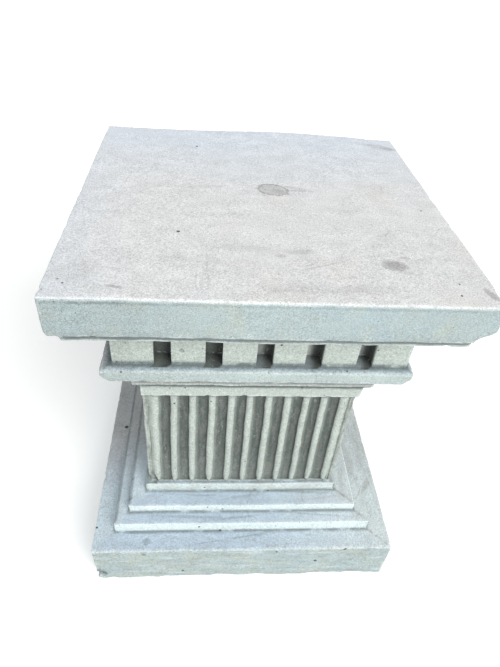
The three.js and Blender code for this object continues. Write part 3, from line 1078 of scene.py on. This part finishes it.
class Cement(Finish):
    """Cast cement, laid coat by coat. A coat is a factor, which says where it lies and how
    thickly, and a colour. Each method gives the coats of one region, the outermost one last."""

    def __init__(self, sizes, colours):
        super().__init__("cast_cement", Roughness=0.9, Specular_IOR_Level=0.25)
        self.sizes, self.colours = sizes, colours
        self.levels = Levels(sizes)
        self.edge, self.nook, self.tread = map(self.mark, ("edge", "nook", "tread"))
        self.grime_and_shade, self.post = map(self.mark, ("grime_and_shade", "post"))
        self.gap, self.lee = map(self.mark, ("gap", "lee"))
        self.patch = self.noise(46.0, 4.0, 0.6, 0.3)
        self.speck = self.noise(300.0, 3.0, 0.65)
        self.grain = self.noise(800.0, 2.0, 0.6)
        self.run = self.streaks(230, 230, 30, 0.62, 0.5)
        self.fleck = self.streaks(240, 240, 95, 0.72, 0.6, 5.0)
        top = PEDESTAL_HEIGHT
        self.top = self.ramp(self.z, top - 0.0020, top - 0.0008) * (1 - self.nook)
        # The steps' colours reach a little above the highest tread
        self.steps_end = self.levels.shaft_foot + 0.0015
        foot = sizes.plinth_height
        self.plinth = self.ramp(self.z, foot + 0.0005, foot - 0.0015)
        self.riser = self.tier(foot + 0.001, self.steps_end, 0.001) * (1 - self.tread)

    def tier(self, low, high, soft):
        """1 between two heights, falling to 0 over `soft` on both sides."""
        return self.between(self.z, low, high, soft)

    def left(self, soft):
        """1 on the left face, rising from 0 at its mitres over about `soft`."""
        return self.ramp(0 - self.x - self.y.size(), 0.0005, soft)

    def ragged(self, patchy, specky):
        """A number around 0 that strays by these amounts with the patches and the specks."""
        return (self.patch - 0.5) * patchy + (self.speck - 0.5) * specky

    def tier_coats(self):
        """Upright faces, tier by tier from the ground up."""
        colours, levels, sizes = self.colours, self.levels, self.sizes
        cool = self.ramp(self.noise(13.0, 3.0, 0.55), 0.42, 0.64)
        sallow = self.ramp(self.noise(31.0, 4.0, 0.6, 0.3), 0.46, 0.70)
        # The plinth's face is mottled in level bands
        level = self.streaks(14, 14, 75, 0.62, 0.8)
        mottled = self.ramp(level, 0.50, 0.66) * self.plinth
        bleached = self.ramp(level, 0.46, 0.34) * self.plinth
        steps_start = sizes.plinth_height + 0.0008
        capital = self.tier(levels.bead_foot + 0.0004, levels.slab_underside + 0.0004, 0.004)
        return [
            (cool * 0.7, colours.face_cool),
            (sallow * 0.5, colours.face_warm),
            (mottled * 0.55, colours.face_warm),
            (bleached * 0.35, colours.lit_and_pale),
            (self.tier(self.steps_end, levels.slab_underside, 0.0008), colours.course),
            (self.tier(levels.cove_top, levels.ledge_edge, 0.0008) * 0.5, colours.face_cool),
            (self.tier(steps_start, self.steps_end, 0.0008), colours.riser),
            (self.left(0.0045) * capital * 0.85, colours.shaded),
        ]

    def tread_coats(self):
        """Treads of the steps: bluish with painted sky light in front, painted shade greying them
        along the left side and towards the back, painted light making them paler at the right, with
        flow lines and dirt swept along them."""
        x, y, colours = self.x, self.y, self.colours
        shaft_foot = self.levels.shaft_foot
        treads = self.tread * self.ramp(self.z, shaft_foot + 0.0045, shaft_foot + 0.001)
        cloud = (self.noise(34.0, 3.0, 0.6) - 0.5) * 0.045
        leftward = self.ramp(0 - x - y.size() + cloud, -0.014, 0.012)
        rightward = self.ramp(x - y.size() + cloud, -0.020, 0.014)
        hindward = self.ramp(y + cloud, -0.13, 0.00)
        # Painted light and shade on the treads: paler at the front and the right, greyer at the left
        # and towards the back
        bluish = self.layered(colours.tread, [
            (self.ramp(x + cloud * 2.0, -0.02, 0.20) * 0.75, colours.lit_and_pale),
            (leftward * (1 - hindward) * 0.34, colours.riser),
            (leftward * (hindward * 0.94 + 0.04), colours.tread_shade),
            (rightward * 0.9, colours.lit_and_pale),
            (rightward * hindward * 0.42, colours.tread_shade),
        ])
        flow = self.lines(11.0, 0.013, 1.2) * self.ramp(self.noise(15.0, 2.0), 0.40, 0.56)
        in_front = self.ramp(self.streaks(9, 70, 60, 0.6, 1.4), 0.50, 0.68)
        beside = self.ramp(self.streaks(85, 10, 60, 0.62, 1.2), 0.46, 0.66)
        swept = in_front * (1 - leftward) * (1 - rightward) * 0.30
        swept = swept + beside * (rightward * 0.34 + leftward * 0.14)
        off_mitre = (x.size() - y.size() + cloud * 0.12).size()
        mitre = self.ramp(off_mitre, 0.0040, 0.0008) * self.ramp(x - y, 0.20, 0.26)
        broken = self.ramp(self.noise(150.0, 3.0, 0.6), 0.40, 0.56)
        dirt = treads * (flow * 0.50 + swept + mitre * broken * 0.65)
        coats = [(treads, bluish), (dirt, colours.smudge)]
        swirl = self.noise(75.0, 3.0, 0.6) * 1.6 - 0.8
        for centre, height, long, wide, turn, strength in TREAD_MARKS:
            reach = self.spot(centre, long, wide, turn) + swirl
            level = self.tier(height - 0.004, height + 0.004, 0.001)
            coats.append((self.ramp(reach, 1.3, 0.3) * level * strength, colours.dust_and_shade))
        return coats

    def trowelled(self):
        """Colour of the top: cool towards the back, with warm cloudy blotches, hairlines and grey
        smudges."""
        x, y, colours = self.x, self.y, self.colours
        cool = self.ramp(y + self.noise(7.0, 2.0) * 0.16, 0.07, 0.27)
        cool = cool.larger(self.ramp(x + self.noise(8.0, 2.0) * 0.08, -0.085, -0.155) * 0.6)
        warm = self.ramp(self.noise(9.0, 3.0, 0.55), 0.45, 0.72) * self.ramp(x, -0.15, 0.02)
        swept = self.ramp(self.streaks(26, 62, 30, 0.62, 0.4), 0.46, 0.74)
        hairs = self.lines(13.0, 0.0075, 1.6) * self.ramp(self.noise(17.0, 2.0), 0.5, 0.62)
        coats = [
            (cool, colours.top_cool),
            (warm * 0.75 * (1 - cool), colours.top_warm),
            (swept * 0.12, colours.smudge),
            (hairs * 0.22, colours.smudge),
        ]
        frayed = self.noise(190.0, 3.0, 0.65) * 0.9 - 0.45
        for centre, long, wide, turn, outline, filling in TOP_SMUDGES:
            reach = self.spot(centre, long, wide, turn) + frayed
            core = self.ramp(reach, 1.2, 0.55) * filling
            if outline:
                core = core + self.between(reach, 0.86, 1.02, 0.10) * outline
            coats.append((core, colours.smudge))
        return self.layered(colours.top, coats)

    def rim_coats(self):
        """A pale ragged strip along the slab's upper edge, a dark line under it that is stronger
        at the left, and the lip below the parting line."""
        colours, levels = self.colours, self.levels
        below = PEDESTAL_HEIGHT - self.z + self.ragged(0.004, 0.003)
        strip = self.ramp(below, 0.0036, 0.0020) * (1 - self.top)
        under = self.between(below, 0.0036, 0.0062, 0.0012) * self.ramp(self.patch, 0.34, 0.56)
        under = under * (0.26 + self.ramp(self.x, -0.04, -0.17) * 0.34) * (1 - self.top)
        lip = self.tier(levels.slab_underside - 0.0006, levels.lip_top - 0.002, 0.0006)
        return [(strip * 0.38, colours.pale), (under, colours.dust_and_shade), (lip * 0.6, colours.course)]

    def dirt_coats(self):
        """Dirt and painted shadow on the ledge's top and at the dentils' feet, with the treads'
        bluish painted sky light and, at the left, painted shade; dirt and painted shadow along the
        parting line; painted shadow at the band's head and under the bead's overhang; painted shade
        on the bead under the ledge and in the crease above it; dirt and painted shade in the nooks;
        and runs of dirt down the corner posts."""
        colours, levels, z = self.colours, self.levels, self.z
        course_foot, band_top = levels.course_foot, levels.band_top
        bead_foot, bead_top = levels.bead_foot, levels.bead_top
        ledge_top = self.tread * self.tier(levels.ledge_edge - 0.0009, course_foot + 0.0029, 0.0006)
        # Dirt and painted shadow of the slab on the ledge's top, darkest next to the dentils
        out = self.x.size().larger(self.y.size()) + self.ragged(0.012, 0.006)
        inmost = self.ramp(out, self.sizes.ledge_half - 0.0005, self.sizes.course_half + 0.0003)
        # Dirt and painted shade along the dentils' feet
        dentil_feet = self.tier(course_foot - 0.0011, course_foot + 0.0032, 0.0012)
        wavy = self.ragged(0.0040, 0.0016)
        # Dirt and painted shadow along the parting line, under the slab's rounding
        off_line = (z - (levels.lip_top - 0.0024) - wavy).size()
        line = self.ramp(off_line, 0.0052, 0.0026) * self.ramp(self.speck, 0.10, 0.40)
        # Painted shadow at the band's head and under the bead's overhang, and painted shade in the
        # crease over the bead
        shadow = self.between(z + wavy * 0.5, band_top - 0.0018, band_top + 0.0002, 0.0009)
        overhang = self.between(z + wavy * 0.4, band_top - 0.0004, bead_foot + 0.0004, 0.0006)
        crease = self.between(z + wavy * 0.3, bead_top + 0.0008, bead_top + 0.0024, 0.0005)
        streaky = self.ramp(self.run, 0.40, 0.58)
        # Dirt and painted shade in the nooks
        ashen = self.ramp(self.nook, 0.30, 1.0) * self.ramp(self.patch, 0.28, 0.52)
        return [
            # The ledge's top takes the treads' bluish painted sky light, and painted shade at the
            # left
            (ledge_top * 0.70, colours.tread),
            (ledge_top * self.left(0.0060) * 0.5, colours.shaded),
            (ledge_top * inmost * 0.8, colours.dust_and_shade),
            (dentil_feet * self.ramp(self.patch, 0.38, 0.58) * 0.6, colours.dust_and_shade),
            (line * 0.84, colours.dust_and_shade),
            (shadow * 0.55, colours.dust_and_shade),
            (overhang * 0.85, colours.grime_and_shade),
            # Painted shade on the bead, under the ledge
            (self.tier(bead_foot + 0.0009, bead_top + 0.004, 0.0008) * 0.42, colours.shaded),
            (crease * 0.45, colours.dust_and_shade),
            (self.post * (0.30 + streaky * 0.48), colours.post),
            (ashen * 0.74, colours.dust_and_shade),
        ]

    def riser_coats(self):
        """Grit that clings along the feet and upper edges of the risers, and the highest riser's
        darker patches."""
        colours, levels = self.colours, self.levels
        by_edge = self.speck + self.edge * 0.07 + self.nook * 0.07
        clinging = self.riser * self.ramp(by_edge, 0.62, 0.72)
        highest = self.tier(levels.middle_step_top + 0.001, levels.shaft_foot + 0.001, 0.001)
        highest = highest * (1 - self.tread) * self.ramp(self.patch, 0.30, 0.6)
        return [(clinging * 0.55, colours.dust_and_shade), (highest * 0.75, colours.course)]

    def edge_wear(self):
        """How far each edge is rubbed pale: less on the ledge, the side treads, the posts, the
        highest riser and the slab's upper edge."""
        levels, x, y, z = self.levels, self.x, self.y, self.z
        ledge = self.tier(levels.cove_top + 0.002, levels.course_foot + 0.0039, 0.002)
        side_tread = self.ramp(x.size() - y.size(), 0.002, 0.008)
        side_tread = side_tread * self.ramp(z, self.steps_end, self.steps_end - 0.004)
        highest = self.tier(levels.middle_step_top + 0.002, self.steps_end, 0.001)
        rim = self.ramp(z, PEDESTAL_HEIGHT - 0.006, PEDESTAL_HEIGHT - 0.003)
        calm = (1 - ledge * 0.45) * (1 - side_tread * 0.85) * (1 - self.post * 0.6)
        calm = calm * (1 - highest * 0.5) * (1 - rim * 0.5)
        return self.ramp(self.edge + self.ragged(1.2, 1.1), 0.5, 1.05) * calm

    def soiled_shaded_edges(self):
        """The steps' edges along the left, dark with dirt and painted shade."""
        steps = self.tier(self.sizes.plinth_height + 0.0015, self.levels.shaft_foot + 0.001, 0.001)
        return self.left(0.0060) * steps * self.ramp(self.edge, 0.15, 0.7)

    def flute_coat(self):
        """Flutes: dark with dirt, with greyer runs and pale flecks, and paler towards the foot.
        Painted light beside the reed at a flute's left makes it paler there, and painted shade beside
        the one at its right makes it darker."""
        colours, shaft_foot = self.colours, self.levels.shaft_foot
        flute = self.layered(colours.grime_and_shade, [
            (self.ramp(self.run, 0.42, 0.62), colours.runs),
            (self.ramp(self.z, shaft_foot + 0.0795, shaft_foot + 0.0045) * 0.16, colours.course),
            (self.ramp(self.fleck, 0.55, 0.74) * 0.42, colours.course),
            # Painted shade beside the reed at the flute's right
            (self.ramp(self.lee, 0.56, 0.80) * 0.42, colours.soot_and_shade),
        ])
        # Painted light beside the reed at the flute's left
        painted_flank_light = self.ramp(self.lee, 0.44, 0.20) * 0.34
        flute_dirt_and_shade = self.grime_and_shade - painted_flank_light + (self.run - 0.5) * 0.35 + (self.speck - 0.5) * 0.25
        return self.ramp(flute_dirt_and_shade, 0.14, 0.82) * 0.96, flute

    def gap_coat(self):
        """Gaps between the dentils: dark with dirt and painted shade, the dirt thickest on the floor;
        painted light on the left part of each gap, more in the gaps towards the right and mostly on
        the wall above the floor; painted shade on the wall away from the light; and pale crumbs along
        the wall's foot."""
        colours, course_foot = self.colours, self.levels.course_foot
        # Painted shade on the right part of each gap, away from the light
        painted_shade_part = self.ramp(self.lee + (self.speck - 0.5) * 0.2, 0.22, 0.80)
        # Painted light on the rest, more in the gaps towards the right
        painted_light_part = self.ramp(self.x, -0.050, 0.035) * (1 - painted_shade_part)
        ragged_height = self.z + (self.patch - 0.5) * 0.006
        wall = self.ramp(ragged_height, course_foot - 0.0001, course_foot + 0.0039)
        crumbs = self.tier(course_foot + 0.0022, course_foot + 0.0038, 0.0005)
        crumbs = crumbs * self.ramp(self.speck, 0.52, 0.66)
        # The gaps' own colour is dirt and painted shade
        recess = self.layered(colours.recess, [
            (painted_light_part * 0.24, colours.tread),
            (painted_light_part * wall * 0.64, colours.top_warm),
            (painted_shade_part * 0.74, colours.soot_and_shade),
            (crumbs * 0.5, colours.pale),
            (self.ramp(self.fleck, 0.60, 0.72) * 0.55, colours.course),
        ])
        return self.ramp(self.gap, 0.02, 0.34) * 0.94, recess

    def bug_holes(self):
        """Pinholes of several sizes, pits along the risers' edges and the larger open holes."""
        holes = self.pits(0.0085, 0.00085, 0.34) * (1 - self.top * 0.75)
        holes = holes.larger(self.pits(0.0050, 0.0006, 0.30) * (1 - self.top))
        holes = holes.larger(self.pits(0.031, 0.0016, 0.30) * (1 - self.top))
        pocked = self.riser * self.ramp(self.edge + self.nook * 0.5, 0.10, 0.60)
        holes = holes.larger(self.pits(0.0052, 0.0010, 0.42) * pocked * 0.8)
        return holes.larger(self.blots(HOLES))

    def tone(self):
        """Lighter and darker by a number around 1: sandy grain, coarser on the shaft and plinth,
        level bands, a darker shaft and plinth, and a darker left end of the slab."""
        levels, off_top = self.levels, 1 - self.top
        shaft = self.tier(self.steps_end, levels.shaft_top - 0.0015, 0.002)
        coarse = shaft.larger(self.plinth) * 0.34 + 0.46
        tone = 1 + (self.patch - 0.5) * 0.30 + (self.speck - 0.5) * coarse
        tone = tone + (self.grain - 0.5) * 1.25
        tone = tone - self.tier(levels.shaft_foot + 0.0035, levels.shaft_top - 0.0035, 0.001) * 0.05
        banded = self.streaks(20, 20, 130, 0.6, 0.6) - 0.5
        tone = tone + banded * (0.22 + self.plinth * 0.34) * off_top - self.plinth * 0.06
        left_end = self.ramp(self.x, -0.03, -0.19) * self.ramp(self.z, 0.30, 0.36) * off_top
        return tone - left_end * 0.15

    def finished(self):
        """Lays all coats, tones them, opens the holes and feeds the shader."""
        colours = self.colours
        worn, holes = self.edge_wear(), self.bug_holes()
        stains = self.blots(STAINS, (self.speck - 0.5) * 0.006) * self.ramp(self.grain, 0.15, 0.45)
        coats = [*self.tier_coats(), *self.tread_coats(), (self.top, self.trowelled())]
        coats += [*self.rim_coats(), *self.dirt_coats(), *self.riser_coats()]
        coats += [(worn * 0.42, colours.pale), (self.soiled_shaded_edges() * 0.62, colours.dust_and_shade)]
        coats += [self.flute_coat(), self.gap_coat(), (stains, colours.dust_and_shade)]
        paint = self.toned(self.layered(colours.face, coats), self.tone())
        self.feed("Base Color", self.mix(holes * 0.88, paint, colours.soot_and_shade))
        relief = self.grain * 0.20 + self.speck * 0.38 + self.patch * 0.40 - holes
        bump = {"Strength": 0.6, "Distance": 0.0013, "Height": relief}
        self.feed("Normal", self.add("ShaderNodeBump", None, bump))
        self.feed("Roughness", 0.95 - worn * 0.08)
        return self.material


class PEDESTAL_OT_casting(bpy.types.Operator):
    """Make the one-piece casting with its reeds, dentils, steps, chips and cement finish"""

    bl_idname = "pedestal.casting"
    bl_label = "Cast Pedestal"

    def execute(self, context):
        scene = context.scene
        casting = Casting(scene.pedestal_sizes, scene.pedestal_wear)
        piece = put_in_scene("pedestal_cast", casting.points(), casting.faces(), casting.marks())
        finish = Cement(scene.pedestal_sizes, scene.pedestal_colours)
        piece.data.materials.append(finish.finished())
        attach(piece, "root")
        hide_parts("pedestal")
        return {"FINISHED"}


# The photograph's camera: metres and degrees, worked out from the slab's and plinth's corners
CAMERA_PLACE = (-0.0602, -0.5449, 0.7408)
CAMERA_AZIMUTH = 6.65
CAMERA_DOWN = 39.94
CAMERA_ROLL = 5.38
FOCAL_PIXELS = 521.1
PHOTO_HEIGHT = 667
SENSOR = 36.0


def camera_matrix():
    """Looks along the azimuth and down, then rolls: right = cos r right + sin r up."""
    azimuth, down, roll = map(math.radians, (CAMERA_AZIMUTH, CAMERA_DOWN, CAMERA_ROLL))
    ahead = Vector((
        math.sin(azimuth) * math.cos(down),
        math.cos(azimuth) * math.cos(down),
        -math.sin(down),
    ))
    level = Vector((math.cos(azimuth), -math.sin(azimuth), 0))
    above = level.cross(ahead)
    right = level * math.cos(roll) + above * math.sin(roll)
    up = above * math.cos(roll) - level * math.sin(roll)
    turn = Matrix((right, up, -ahead)).transposed()
    return Matrix.Translation(CAMERA_PLACE) @ turn.to_4x4()


# Soft distant lights: name, degrees to the right of the front, degrees up, strength, spread
# in degrees, colour
LIGHTS = (
    ("key_light", 36.0, 36.0, 1.95, 36.0, (1.0, 0.995, 0.98)),
    ("fill_light", -12.0, 54.0, 1.05, 70.0, (0.96, 0.985, 1.0)),
)


def add_light(name, right, up, strength, spread, tint):
    """A sun at right, up: x = sin right cos up, y = -cos right cos up, z = sin up, three metres
    away and turned to the middle."""
    data = bpy.data.lights.new(name, "SUN")
    data.energy = strength
    data.angle = math.radians(spread)
    data.color = tint
    lamp = bpy.data.objects.new(name, data)
    right, up = math.radians(right), math.radians(up)
    towards = Vector((
        math.sin(right) * math.cos(up),
        -math.cos(right) * math.cos(up),
        math.sin(up),
    ))
    lamp.location = towards * 3
    lamp.rotation_mode = "QUATERNION"
    lamp.rotation_quaternion = (-towards).to_track_quat("-Z", "Y")
    bpy.context.scene.collection.objects.link(lamp)


def floor_finish(colours):
    """Matt painted floor with barely visible cloudiness."""
    finish = Finish(
        "studio_floor",
        Roughness=0.9,
        Specular_IOR_Level=0.2,
        Emission_Color=(1.0, 1.0, 1.0, 1.0),
        Emission_Strength=0.16,
    )
    cloud = finish.ramp(finish.noise(0.8, 2.0), 0.3, 0.7)
    shaded = tuple(value * 0.985 for value in colours.floor)
    finish.feed("Base Color", finish.mix(cloud, colours.floor, shaded))
    return finish.material


class PEDESTAL_OT_stage(bpy.types.Operator):
    """Make the pale floor, the soft lights and the camera"""

    bl_idname = "pedestal.stage"
    bl_label = "Set Stage"

    def execute(self, context):
        scene = context.scene
        reach = 40.0
        corners = np.array([[-1, -1, 0], [1, -1, 0], [1, 1, 0], [-1, 1, 0]]) * reach
        floor = put_in_scene("studio_floor", corners, [(0, 1, 2, 3)])
        floor.data.materials.append(floor_finish(scene.pedestal_colours))
        for light in LIGHTS:
            add_light(*light)
        world = bpy.data.worlds.new("studio")
        world.use_nodes = True
        background = world.node_tree.nodes["Background"]
        background.inputs["Color"].default_value = (0.97, 0.985, 1.0, 1.0)
        background.inputs["Strength"].default_value = 0.45
        scene.world = world
        data = bpy.data.cameras.new("photo_camera")
        data.sensor_width = SENSOR
        data.lens = FOCAL_PIXELS * SENSOR / PHOTO_HEIGHT
        data.dof.use_dof = False
        camera = bpy.data.objects.new("photo_camera", data)
        camera.matrix_world = camera_matrix()
        scene.collection.objects.link(camera)
        scene.camera = camera
        scene.view_settings.view_transform = "Standard"
        return {"FINISHED"}


class PEDESTAL_PT_sidebar(bpy.types.Panel):
    """Sizes, wear, colours and the making buttons"""

    bl_idname = "PEDESTAL_PT_sidebar"
    bl_label = "Pedestal"
    bl_space_type = "VIEW_3D"
    bl_region_type = "UI"
    bl_category = "Pedestal"

    def draw(self, context):
        layout = self.layout
        layout.operator(PEDESTAL_OT_casting.bl_idname)
        layout.operator(PEDESTAL_OT_stage.bl_idname)
        groups = (
            context.scene.pedestal_sizes,
            context.scene.pedestal_wear,
            context.scene.pedestal_colours,
        )
        for group in groups:
            box = layout.box()
            for name in group.bl_rna.properties.keys():
                if name not in {"rna_type", "name"}:
                    box.prop(group, name)


CLASSES = (
    PedestalSizes,
    PedestalWear,
    PedestalColours,
    PEDESTAL_OT_casting,
    PEDESTAL_OT_stage,
    PEDESTAL_PT_sidebar,
)


def register():
    for cls in CLASSES:
        bpy.utils.register_class(cls)
    bpy.types.Scene.pedestal_sizes = PointerProperty(type=PedestalSizes)
    bpy.types.Scene.pedestal_wear = PointerProperty(type=PedestalWear)
    bpy.types.Scene.pedestal_colours = PointerProperty(type=PedestalColours)


def unregister():
    del bpy.types.Scene.pedestal_colours
    del bpy.types.Scene.pedestal_wear
    del bpy.types.Scene.pedestal_sizes
    for cls in reversed(CLASSES):
        bpy.utils.unregister_class(cls)


def main():
    """Makes the stage and the casting."""
    register()
    bpy.ops.pedestal.stage()
    bpy.ops.pedestal.casting()


if __name__ == "__main__":
    main()
